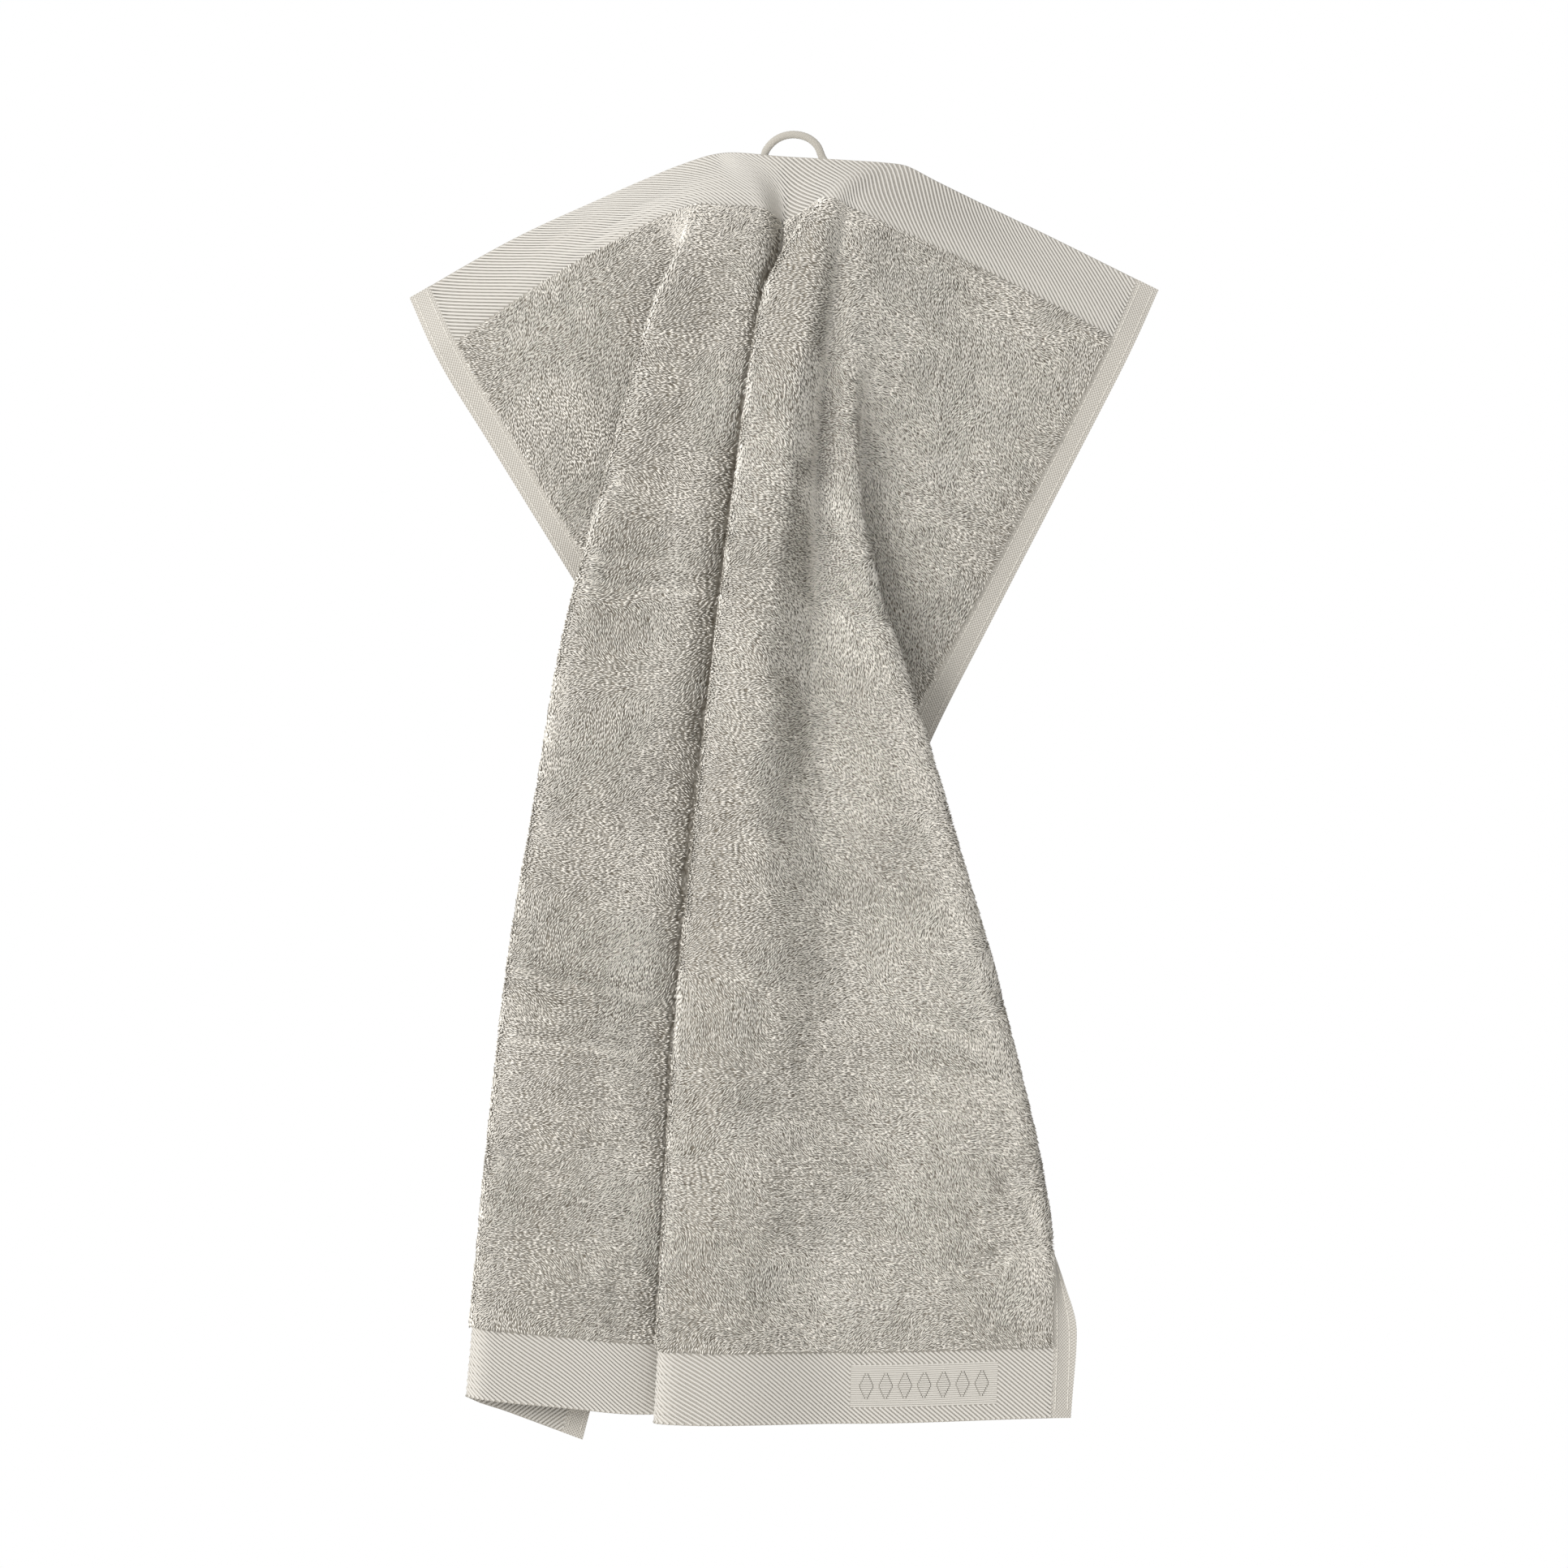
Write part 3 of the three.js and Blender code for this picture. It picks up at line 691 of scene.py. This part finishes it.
def make_pile(name, side, across, down, turn, chance):
    """The loops of one face between two distances down."""
    bigger = chance.normal(0, SIZE_CHANCE, across.size).clip(-SIZE_LIMIT, SIZE_LIMIT)
    size = LOOP_PITCH[side] * (1 + bigger)
    tone = TONE_MIDDLE + TONE_WIDE * drift(across, down, TONE_WIDE_PITCH, 31)
    tone += TONE_FINE * drift(across, down, TONE_FINE_PITCH, 33)
    tone += chance.normal(0, TONE_CHANCE, across.size)
    taller = TALL_PATCH * drift(across, down, TALL_PATCH_PITCH, 41)
    tall = LOOP_TALL * (1 + taller + chance.normal(0, TALL_CHANCE, across.size))
    below = (down - PILE_MIDDLE) / PILE_MIDDLE
    rowed = (ROWS_PATCH * drift(across, down, ROWS_PATCH_PITCH, 51) + below).clip(0, 1)
    row = (down + ROWS_WANDER * drift(across, down, ROWS_WANDER_PITCH, 53)) / WEFT_ROW
    between_rows = rowed * (0.5 + 0.5 * np.cos(2 * np.pi * row))
    tone -= ROWS_DARKER * between_rows
    tall *= 1 - ROWS_LOWER * between_rows
    # Loops seen edge-on on a fold's edge get painted shade and stand taller.
    edge_on = (1 - np.abs(on_cloth(across, down, side)[3][:, 1])) ** EDGE_POWER
    tone -= EDGE_PAINTED_SHADE * edge_on
    tall *= 1 + EDGE_TALLER * edge_on
    tall = tall.clip(SHORTEST, TALLEST)
    return make_grains(
        name, across, down, side, turn, LOOP_LONG * size, LOOP_WIDE * size, tall, tone
    )


PILE_PARTS = {"upper": (0, 210), "middle": (210, 390), "lower": (390, CLOTH_LENGTH)}
pile = []
for side, face, seed in ((FRONT, "front", 101), (BACK, "back", 103)):
    across, down, turn, chance = pile_places(side, seed)
    for part, (top, bottom) in PILE_PARTS.items():
        here = (down >= top) & (down < bottom)
        name = f"pile_{face}_{part}"
        pile.append(make_pile(name, side, across[here], down[here], turn[here], chance))
for piece in pile:
    print(piece.name, len(piece.data.polygons), "triangles")

# %% [markdown]
# The borders are a bold twill: cords that climb one step to the side with every pick, so
# they run down to the right at a slant, steeper on the back. Each rib is a slim raised bar
# with four sides and a flat top, and sharp edges at its ends. The ribs stop at a
# plain-woven oblong in the lower border.

# %% Twill ribs
RIB_PITCH = 1.6
RIB_SLANT = {FRONT: np.radians(38), BACK: np.radians(52)}
RIB_WIDE = 1.45
RIB_TALL = 0.38
RIB_STEPS = 9
RIB_CLEAR = 0.4
SHORTEST_RIB = 1.0
BAR_CREST_HIGHLIGHT = 0.7

# A bar's section, as shares of its width and height, and the tone at each corner:
# painted shade at its base and a painted highlight on its crest.
BAR_RING = [(0.5, -0.1), (-0.5, -0.1), (-0.23, 1), (0.23, 1)]
BAR_PAINTED_LIGHT = [0.0, 0.0, 1.0, 1.0]
OBLONG_ACROSS = (288.0, 362.0)
OBLONG_DOWN = (572.5, 592.5)
BORDERS = {
    "top": (RIB_CLEAR, PILE_TOP - RIB_CLEAR),
    "bottom": (PILE_BOTTOM + RIB_CLEAR, CLOTH_LENGTH - RIB_CLEAR),
}


def rib_runs(side, top, bottom):
    """Each rib's start across at the border's top line, and its first and last place down."""
    lean = 1 / np.tan(RIB_SLANT[side])
    pitch = RIB_PITCH / np.sin(RIB_SLANT[side])
    starts = np.arange(SIDE_HEM - lean * (bottom - top), CLOTH_WIDTH - SIDE_HEM, pitch)
    first = top + np.maximum(0, (SIDE_HEM - starts) / lean)
    last = top + np.minimum(bottom - top, (CLOTH_WIDTH - SIDE_HEM - starts) / lean)
    runs = [(s, a, b) for s, a, b in zip(starts, first, last) if b - a > SHORTEST_RIB]
    if side == BACK or top < PILE_MIDDLE:
        return np.array(runs)
    cut = []
    for start, a, b in runs:
        enter = max(OBLONG_DOWN[0], top + (OBLONG_ACROSS[0] - start) / lean)
        leave = min(OBLONG_DOWN[1], top + (OBLONG_ACROSS[1] - start) / lean)
        if enter >= leave or enter >= b or leave <= a:
            cut.append((start, a, b))
            continue
        parts = ((a, enter), (leave, b))
        cut += [(start, *part) for part in parts if part[1] - part[0] > SHORTEST_RIB]
    return np.array(cut)


def make_bars(name, side, starts, ends, steps, wide, tall, pale=BAR_CREST_HIGHLIGHT):
    """Low bars with a flat top, each from one place of the flat cloth to another."""
    t = np.linspace(0, 1, steps + 1)[:, None]
    across, down = (starts[:, None] + (ends - starts)[:, None] * t).reshape(-1, 2).T
    run = np.repeat(unit(ends - starts), steps + 1, 0)
    place, along, downward, out = on_cloth(across, down, side)
    heading = unit(run[:, :1] * along + run[:, 1:] * downward)
    beside = np.cross(out, heading)
    ring = np.stack([place + w * wide * beside + h * tall * out for w, h in BAR_RING], 1)
    count, corners = len(starts), len(BAR_RING)
    base = ((np.arange(count) * (steps + 1))[:, None] + np.arange(steps)) * corners
    walls = np.stack([
        np.stack([base + a, base + b, base + b + corners, base + a + corners], -1)
        for a, b in ((0, 3), (3, 2), (2, 1), (1, 0))
    ], 2).reshape(-1, 4)
    lids = base[:, :1] + (0, 1, 2, 3)
    far_lids = base[:, -1:] + corners + (0, 3, 2, 1)
    faces = np.concatenate([walls, lids, far_lids])
    # Each bar's base corners are painted in shade and its crest corners as a highlight.
    tones = np.tile(BAR_PAINTED_LIGHT, across.size) * pale
    spread, drop = np.repeat(across, corners), np.repeat(down, corners)
    sides = np.full(tones.size, side)
    piece = joined_mesh(name, ring.reshape(-1, 3), faces, tones, spread, drop, sides)
    mesh = piece.data
    edges, sharp = np.empty(len(mesh.loops), int), np.zeros(len(mesh.edges), bool)
    mesh.loops.foreach_get("edge_index", edges)
    sharp[edges[walls.size:]] = True
    mesh.edges.foreach_set("use_edge_sharp", sharp)
    return piece


def make_ribs(name, side, border):
    """The twill ribs on one face of one border."""
    top, bottom = BORDERS[border]
    lean = 1 / np.tan(RIB_SLANT[side])
    starts, first, last = rib_runs(side, top, bottom).T
    begin = np.stack([starts + (first - top) * lean, first], 1)
    end = np.stack([starts + (last - top) * lean, last], 1)
    return make_bars(name, side, begin, end, RIB_STEPS, RIB_WIDE, RIB_TALL)


ribs = [
    make_ribs(f"ribs_{border}_{'front' if side == FRONT else 'back'}", side, border)
    for border in BORDERS
    for side in (FRONT, BACK)
]
for piece in ribs:
    print(piece.name, len(piece.data.polygons), "faces")

# %% [markdown]
# The side hems are turned over and sewn with two rows of lockstitch, which shows on both
# faces. The lower border's oblong is filled with level floats, parted round a row of seven
# small diamonds, and each diamond is a stack of short floats that stand higher.

# %% Sewing and the woven oblong
STITCH_PITCH = 3.4
STITCH_LONG = 2.7
STITCH_WIDE = 0.6
STITCH_TALL = {FRONT: 0.22, BACK: 0.34}
STITCH_ENDS = (3, CLOTH_LENGTH - 2)
HEM_ROWS = (2.2, 8.6)
STITCH_STEPS = 2
FLOAT_PITCH = 1.0
FLOAT_WIDE = 1.25
FLOAT_STEPS = 6
OBLONG_TALL = 0.3
OBLONG_CREST_HIGHLIGHT = 0.5
DIAMOND_RISE = 0.6
DIAMOND_GAP = 0.4
DIAMONDS = 7
DIAMOND_INSET = 8.0
DIAMOND_WIDE = 6.6
DIAMOND_TALL = 13.0


def make_stitches(name, side):
    """Two rows of stitches down each side hem."""
    downs = np.arange(*STITCH_ENDS, STITCH_PITCH)
    insets = [*HEM_ROWS, *(CLOTH_WIDTH - inset for inset in HEM_ROWS)]
    across, down = np.repeat(insets, downs.size), np.tile(downs, len(insets))
    starts = np.stack([across, down - 0.5 * STITCH_LONG], 1)
    ends = np.stack([across, down + 0.5 * STITCH_LONG], 1)
    return make_bars(name, side, starts, ends, STITCH_STEPS, STITCH_WIDE, STITCH_TALL[side])


def make_oblong():
    """Level floats that fill the oblong, parted round a row of raised diamonds."""
    centre_down = sum(OBLONG_DOWN) / 2
    left, right = OBLONG_ACROSS
    centres = np.linspace(left + DIAMOND_INSET, right - DIAMOND_INSET, DIAMONDS)
    level, raised = [], []
    for down in np.arange(OBLONG_DOWN[0] + FLOAT_PITCH / 2, OBLONG_DOWN[1], FLOAT_PITCH):
        half = 0.5 * DIAMOND_WIDE * (1 - abs(down - centre_down) / (0.5 * DIAMOND_TALL))
        gap = half + DIAMOND_GAP if half > 0 else 0.0
        stops = [left]
        for centre in centres:
            stops += [centre - gap, centre + gap]
        stops.append(right)
        level += [((a, down), (b, down)) for a, b in zip(stops[::2], stops[1::2])]
        raised += [((c - half, down), (c + half, down)) for c in centres if half > 0]
    pieces = []
    for name, floats, tall in (
        ("woven_oblong", level, OBLONG_TALL), ("woven_diamonds", raised, DIAMOND_RISE)
    ):
        starts, ends = np.array(floats).transpose(1, 0, 2)
        bars = make_bars(name, FRONT, starts, ends, FLOAT_STEPS, FLOAT_WIDE, tall, OBLONG_CREST_HIGHLIGHT)
        pieces.append(bars)
    return pieces


stitches = [make_stitches("stitches_front", FRONT), make_stitches("stitches_back", BACK)]
oblong = make_oblong()
print("stitched and woven bars:", [len(piece.data.polygons) for piece in (*stitches, *oblong)])

# %% [markdown]
# The loop is a thick woven tape, sewn flat to the back of the hem by both feet. Its
# middle line runs up one foot, over the arch and down the other, as a centripetal
# Catmull-Rom curve, which passes through every place without a kink. The tube itself is a
# grid wrapped round that line, welded along its seam and closed at both ends.

# %% Loop tape
TAPE_WIDE = 3.6
TAPE_THICK = 2.2
TAPE_FOOT = 9.0
TAPE_FEET = (192.0, 220.0)
TAPE_ARCH = [(-13.7, -7), (-10.5, -2.2), (-6, 0.8), (0, 1.95), (6.5, 0.5), (11, -3.2), (13.6, -9)]
FOOT_TOP = 2.0
TAPE_STEPS = 110
TAPE_SIDES = 20
TAPE_GIRTH = 0.8 * np.pi * TAPE_WIDE
WEAVE_PITCH = 1.5
WEAVE_RELIEF = 0.045

# The feet stand off the border's middle by half the solid's thickness, the gap between two
# solids, and room for the slant of the hem under the width of the tape.
SOLID_BORDER_HALF = 0.9
SOLID_GAP = 0.3
SLANT_ROOM = 0.6
TAPE_STAND_OFF = SOLID_BORDER_HALF + SOLID_GAP + SLANT_ROOM + TAPE_THICK / 2


def tape_foot(across, downs):
    """The tape's middle line where it lies on the back of the hem."""
    here = np.full(len(downs), across)
    place, _, _, out = on_cloth(here, np.array(downs, float), BACK, -BORDER_HALF)
    return list(place + TAPE_STAND_OFF * out)


def between(a, b, start, end, t):
    return a + (b - a) * (t - start) / (end - start)


def soft_curve(points, count):
    """Places on a centripetal Catmull-Rom curve through the points."""
    points = np.array([2 * points[0] - points[1], *points, 2 * points[-1] - points[-2]])
    chords = np.linalg.norm(np.diff(points, axis=0), axis=1) ** 0.5
    knots = np.concatenate([[0], np.cumsum(chords)])
    places = []
    for t in np.linspace(knots[1], knots[-2], count):
        k = int(np.clip(np.searchsorted(knots, t, side="right") - 1, 1, len(points) - 3))
        near, at = points[k - 1 : k + 3], knots[k - 1 : k + 3]
        first = [between(near[i], near[i + 1], at[i], at[i + 1], t) for i in range(3)]
        second = [between(first[i], first[i + 1], at[i], at[i + 2], t) for i in range(2)]
        places.append(between(*second, at[1], at[2], t))
    return np.array(places)


def make_tape():
    """The loop's tape, closed at both ends, with its weave's coordinates."""
    arch = [np.array([side, 0, height]) for side, height in TAPE_ARCH]
    left = tape_foot(TAPE_FEET[0], [TAPE_FOOT, TAPE_FOOT / 2, FOOT_TOP])
    right = tape_foot(TAPE_FEET[1], [FOOT_TOP, TAPE_FOOT / 2, TAPE_FOOT])
    line = soft_curve([*left, *arch, *right], TAPE_STEPS + 1)
    length = np.concatenate([[0], np.cumsum(np.linalg.norm(np.diff(line, axis=0), axis=1))])
    heading = unit(np.gradient(line, axis=0))
    wide = unit(np.cross(heading, (0, 1, 0)))
    thick = np.cross(wide, heading)
    bm = bmesh.new()
    bmesh.ops.create_grid(bm, x_segments=TAPE_SIDES, y_segments=TAPE_STEPS, size=0.5)
    flat = bm.loops.layers.uv.new("cloth")
    for face in bm.faces:
        face.smooth = True
        for corner in face.loops:
            turn, step = corner.vert.co.x + 0.5, round((corner.vert.co.y + 0.5) * TAPE_STEPS)
            corner[flat].uv = (turn * TAPE_GIRTH * MM, length[step] * MM)
    for vert in bm.verts:
        turn, step = 2 * np.pi * (vert.co.x + 0.5), round((vert.co.y + 0.5) * TAPE_STEPS)
        along = 2 * np.pi * length[step] / WEAVE_PITCH
        swell = 1 + WEAVE_RELIEF * np.cos(along + 2 * abs(turn - np.pi))
        ring = 0.5 * TAPE_WIDE * np.cos(turn) * wide[step]
        ring = ring + 0.5 * TAPE_THICK * np.sin(turn) * thick[step]
        vert.co = (line[step] + swell * ring) * MM
    bmesh.ops.remove_doubles(bm, verts=bm.verts[:], dist=0.01 * MM)
    bmesh.ops.holes_fill(bm, edges=[edge for edge in bm.edges if edge.is_boundary])
    bmesh.ops.recalc_face_normals(bm, faces=bm.faces[:])
    mesh = bpy.data.meshes.new("loop_tape")
    bm.to_mesh(mesh)
    bm.free()
    piece = bpy.data.objects.new("loop_tape", mesh)
    bpy.context.scene.collection.objects.link(piece)
    print("loop tape:", round(length[-1], 1), "mm long")
    return piece


tape = make_tape()

# %% [markdown]
# All the finishes are cotton: matt, with a faint sheen from loose fibres. The colours are
# written as sRGB hex values and turned to linear ones by one function. Another adds a node
# with its settings and links, so each finish reads as a short list of nodes.

# %% Finishes: helpers
def linear(code):
    """An sRGB hex colour as the linear values that nodes take."""
    parts = [int(code[i : i + 2], 16) / 255 for i in (1, 3, 5)]
    return (*(c / 12.92 if c <= 0.04045 else ((c + 0.055) / 1.055) ** 2.4 for c in parts), 1.0)


def add_node(tree, kind, inputs=(), **settings):
    """Adds a node, sets its properties, and gives each input a value or a link."""
    node = tree.nodes.new(kind)
    for name, value in settings.items():
        setattr(node, name, value)
    for socket, value in dict(inputs).items():
        if isinstance(value, bpy.types.NodeSocket):
            tree.links.new(value, node.inputs[socket])
        else:
            node.inputs[socket].default_value = value
    return node


SPECULAR = 0.25
SHEEN_ROUGHNESS = 0.6


def new_finish(name, roughness, sheen):
    """A cotton finish with its shader, ready for a colour and a bump."""
    finish = bpy.data.materials.new(name)
    finish.use_nodes = True
    tree = finish.node_tree
    shader = tree.nodes["Principled BSDF"]
    shader.inputs["Roughness"].default_value = roughness
    shader.inputs["Specular IOR Level"].default_value = SPECULAR
    shader.inputs["Sheen Weight"].default_value = sheen
    shader.inputs["Sheen Roughness"].default_value = SHEEN_ROUGHNESS
    return finish, tree, shader


# %% [markdown]
# The loops are two-ply cotton yarn. Painted shade darkens their two sunk sides to the
# deeper greige, and a painted highlight makes their raised tips paler. Each mesh carries
# that painted light, with the yarn's own patches, as its tone.

# %% Finishes: looped cotton yarn
YARN_SHADE = "#8E887D"
YARN_MID = "#F2EDE3"
YARN_HIGHLIGHT = "#FAF6EF"
YARN_MID_TONE = 0.36


def yarn_finish(name, deep, mid, pale):
    """Yarn coloured by the mesh's tone: the painted shade colour, then middling, then the painted
    highlight.
    """
    finish, tree, shader = new_finish(name, roughness=0.92, sheen=0.15)
    tone = add_node(tree, "ShaderNodeAttribute", attribute_name="tone")
    ramp = add_node(tree, "ShaderNodeValToRGB", {"Fac": tone.outputs["Fac"]})
    ramp.color_ramp.elements[0].color = linear(deep)
    ramp.color_ramp.elements[1].color = linear(pale)
    ramp.color_ramp.elements.new(YARN_MID_TONE).color = linear(mid)
    tree.links.new(ramp.outputs["Color"], shader.inputs["Base Color"])
    return finish


looped_yarn = yarn_finish("looped_cotton_yarn", YARN_SHADE, YARN_MID, YARN_HIGHLIGHT)

# %% [markdown]
# Between the loops the ground cloth shows more loops that stand lower. They are drawn on
# it as cells 1.2 mm wide and 2.6 mm long, turned by a slow warp, with painted shade in the gaps.

# %% Finishes: terry ground
CELL_WIDE = 1.2
CELL_LONG = 2.6
WARP_PITCH = 22.0
WARP_REACH = 9.0
CELL_PALE = "#C4BFB6"
CELL_GAP_SHADE = "#766F63"
CELL_EDGE = 0.9
CELL_RELIEF = 0.9


def terry_ground_finish():
    """Low loops drawn as cells with painted shade in their gaps, and a bump, turned by a slow
    warp.
    """
    finish, tree, shader = new_finish("terry_ground", roughness=0.95, sheen=0.1)
    flat = add_node(tree, "ShaderNodeUVMap", uv_map="cloth").outputs["UV"]
    warp = add_node(
        tree,
        "ShaderNodeTexNoise",
        {"Vector": flat, "Scale": 1 / (WARP_PITCH * MM), "Detail": 1.0},
    )
    centred = add_node(
        tree,
        "ShaderNodeVectorMath",
        {0: warp.outputs["Color"], 1: (-0.5, -0.5, -0.5)},
        operation="ADD",
    )
    pushed = add_node(
        tree,
        "ShaderNodeVectorMath",
        {0: centred.outputs[0], 1: (WARP_REACH * MM,) * 3, 2: flat},
        operation="MULTIPLY_ADD",
    )
    sized = add_node(
        tree,
        "ShaderNodeMapping",
        {"Vector": pushed.outputs[0], "Scale": (1 / (CELL_WIDE * MM), 1 / (CELL_LONG * MM), 1)},
    )
    cells = add_node(tree, "ShaderNodeTexVoronoi", {"Vector": sized.outputs[0], "Scale": 1.0})
    ramp = add_node(tree, "ShaderNodeValToRGB", {"Fac": cells.outputs["Distance"]})
    ramp.color_ramp.elements[0].color = linear(CELL_PALE)
    # The gap colour is painted shade between the low loops.
    ramp.color_ramp.elements[1].color = linear(CELL_GAP_SHADE)
    ramp.color_ramp.elements[1].position = CELL_EDGE
    bump = add_node(
        tree,
        "ShaderNodeBump",
        {"Height": cells.outputs["Distance"], "Distance": CELL_RELIEF * MM, "Strength": 1.0},
        invert=True,
    )
    tree.links.new(ramp.outputs["Color"], shader.inputs["Base Color"])
    tree.links.new(bump.outputs["Normal"], shader.inputs["Normal"])
    return finish


terry_ground = terry_ground_finish()

# %% [markdown]
# The borders and hems are woven without pile. Their yarn is drawn as a fine plain weave
# that repeats every 0.7 mm in the borders and tape, and every 1.5 mm in the hems. The
# twill's ribs and the stitches are yarn too, with painted shade at their base and a painted
# highlight on their crests.

# %% Finishes: flat weave, ribs and thread
THREAD_PITCH = 0.7
HEM_PITCH = 1.5
THREAD_RELIEF = 0.17
THREAD_BUMP = 0.8


def add_math(tree, operation, *values):
    """The output of one arithmetic node."""
    node = add_node(tree, "ShaderNodeMath", dict(enumerate(values)), operation=operation)
    return node.outputs[0]


def flat_weave_finish(name, colour, gap_colour, pitch=THREAD_PITCH):
    """A plain weave: two crossed waves, dark where the threads part."""
    finish, tree, shader = new_finish(name, roughness=0.88, sheen=0.12)
    flat = add_node(tree, "ShaderNodeUVMap", uv_map="cloth").outputs["UV"]
    parted = add_node(tree, "ShaderNodeSeparateXYZ", {0: flat})
    waves = []
    for axis in ("X", "Y"):
        turned = add_math(tree, "MULTIPLY", parted.outputs[axis], 2 * np.pi / (pitch * MM))
        waves.append(add_math(tree, "SINE", turned))
    weave = add_math(tree, "MULTIPLY", *waves)
    ramp = add_node(
        tree,
        "ShaderNodeMapRange",
        {"Value": weave, "From Min": -1.0, "From Max": 1.0},
    )
    mixed = add_node(
        tree,
        "ShaderNodeMix",
        {0: ramp.outputs[0], 6: linear(gap_colour), 7: linear(colour)},
        data_type="RGBA",
    )
    relief = THREAD_RELIEF * pitch * MM
    bump = add_node(
        tree, "ShaderNodeBump", {"Height": weave, "Distance": relief, "Strength": THREAD_BUMP}
    )
    tree.links.new(mixed.outputs[2], shader.inputs["Base Color"])
    tree.links.new(bump.outputs["Normal"], shader.inputs["Normal"])
    return finish


flat_weave = flat_weave_finish("flat_woven_cotton", "#BDB8AF", "#9F998F")
hem_weave = flat_weave_finish("hem_woven_cotton", "#D2CEC6", "#A39D93", HEM_PITCH)
# Ribs, floats and stitches: the first colour is painted shade at their base, the last a painted
# highlight on their crests.
twill_yarn = yarn_finish("twill_cotton_yarn", "#5F5A50", "#BAB6AE", "#D0CCC5")
sewing_thread = yarn_finish("cotton_sewing_thread", "#A7A197", "#CBC6BC", "#DEDAD2")
woven_tape = flat_weave_finish("woven_cotton_tape", "#CBC7BE", "#9C968B")

# %% Put the finishes on
ground.data.materials.append(terry_ground)
ground.data.materials.append(flat_weave)
ground.data.materials.append(hem_weave)
for piece in pile:
    piece.data.materials.append(looped_yarn)
for piece in [*ribs, *oblong]:
    piece.data.materials.append(twill_yarn)
for piece in stitches:
    piece.data.materials.append(sewing_thread)
tape.data.materials.append(woven_tape)

# %% [markdown]
# Every piece moves with the one body. The ground cloth stands for the towel's solid, which
# is hidden with the loop's, and what is sewn or woven on it goes with it.

# %% Join the pieces to the frame
on_sheet = [*pile, *ribs, *stitches, *oblong]
for piece in [ground, tape, *on_sheet]:
    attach(piece, "root")
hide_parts("towel")
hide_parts("hanging_loop")

# %% [markdown]
# The towel is shown in a white room. A big soft key lamp stands at the upper left and a
# weaker fill lamp below, and the room lights the rest evenly. The camera is far back with
# a long lens, level with the middle of the cloth. A pale floor lies well below the hem.

# %% Light, floor and camera
VIEW_WIDTH = 743.8
CAMERA_PLACE = (-4.62, -3200.0, -306.1)
SENSOR = 36.0
FLOOR_HEIGHT = -950.0
FLOOR_RADIUS = 2200.0
LAMP_PLACE = (-2200.0, -2300.0, 850.0)
LAMP_SIZE = 1700.0
LAMP_WATTS = 98.0
FILL_PLACE = (-300.0, -2200.0, -2000.0)
FILL_SIZE = 1500.0
FILL_WATTS = 30.0
ROOM_LIGHT = 0.76
CLIP_END = 50.0


def make_floor():
    """A round pale floor."""
    bm = bmesh.new()
    bmesh.ops.create_circle(bm, cap_ends=True, segments=96, radius=FLOOR_RADIUS * MM)
    for vert in bm.verts:
        vert.co.z = FLOOR_HEIGHT * MM
    mesh = bpy.data.meshes.new("floor")
    bm.to_mesh(mesh)
    bm.free()
    floor = bpy.data.objects.new("floor", mesh)
    bpy.context.scene.collection.objects.link(floor)
    finish, _, shader = new_finish("pale_floor_paint", roughness=0.9, sheen=0.0)
    shader.inputs["Base Color"].default_value = linear("#F0EFEC")
    mesh.materials.append(finish)


def aim_at(thing, target):
    """Turns a lamp towards a place."""
    away = thing.location - target
    thing.rotation_euler = away.to_track_quat("Z", "Y").to_euler()


def make_lamp(name, place, size, watts):
    """A square soft lamp that faces the middle of the cloth."""
    lamp = bpy.data.lights.new(name, "AREA")
    lamp.size = size * MM
    lamp.energy = watts
    thing = bpy.data.objects.new(name, lamp)
    thing.location = [v * MM for v in place]
    aim_at(thing, Vector((0, 0, CAMERA_PLACE[2] * MM)))
    bpy.context.scene.collection.objects.link(thing)


def make_room():
    """A world that the camera sees as white and that lights the towel a little less."""
    world = bpy.data.worlds.new("white_room")
    world.use_nodes = True
    tree = world.node_tree
    tree.nodes.clear()
    seen = add_node(tree, "ShaderNodeLightPath").outputs["Is Camera Ray"]
    fill = add_node(tree, "ShaderNodeBackground", {"Color": (1, 1, 1, 1), "Strength": ROOM_LIGHT})
    white = add_node(tree, "ShaderNodeBackground", {"Color": (1, 1, 1, 1), "Strength": 1.0})
    either = add_node(
        tree, "ShaderNodeMixShader", {0: seen, 1: fill.outputs[0], 2: white.outputs[0]}
    )
    add_node(tree, "ShaderNodeOutputWorld", {"Surface": either.outputs[0]})
    bpy.context.scene.world = world


def make_camera():
    """A camera with the lens that fits the view's width at the towel."""
    camera = bpy.data.cameras.new("camera")
    camera.sensor_width = SENSOR
    camera.lens = SENSOR * -CAMERA_PLACE[1] / VIEW_WIDTH
    camera.clip_end = CLIP_END
    thing = bpy.data.objects.new("camera", camera)
    thing.location = [v * MM for v in CAMERA_PLACE]
    thing.rotation_euler = (np.pi / 2, 0, 0)
    bpy.context.scene.collection.objects.link(thing)
    bpy.context.scene.camera = thing
    print("lens", round(camera.lens, 1), "mm")


make_floor()
make_lamp("key_lamp", LAMP_PLACE, LAMP_SIZE, LAMP_WATTS)
make_lamp("fill_lamp", FILL_PLACE, FILL_SIZE, FILL_WATTS)
make_room()
make_camera()
bpy.context.scene.view_settings.view_transform = "Standard"
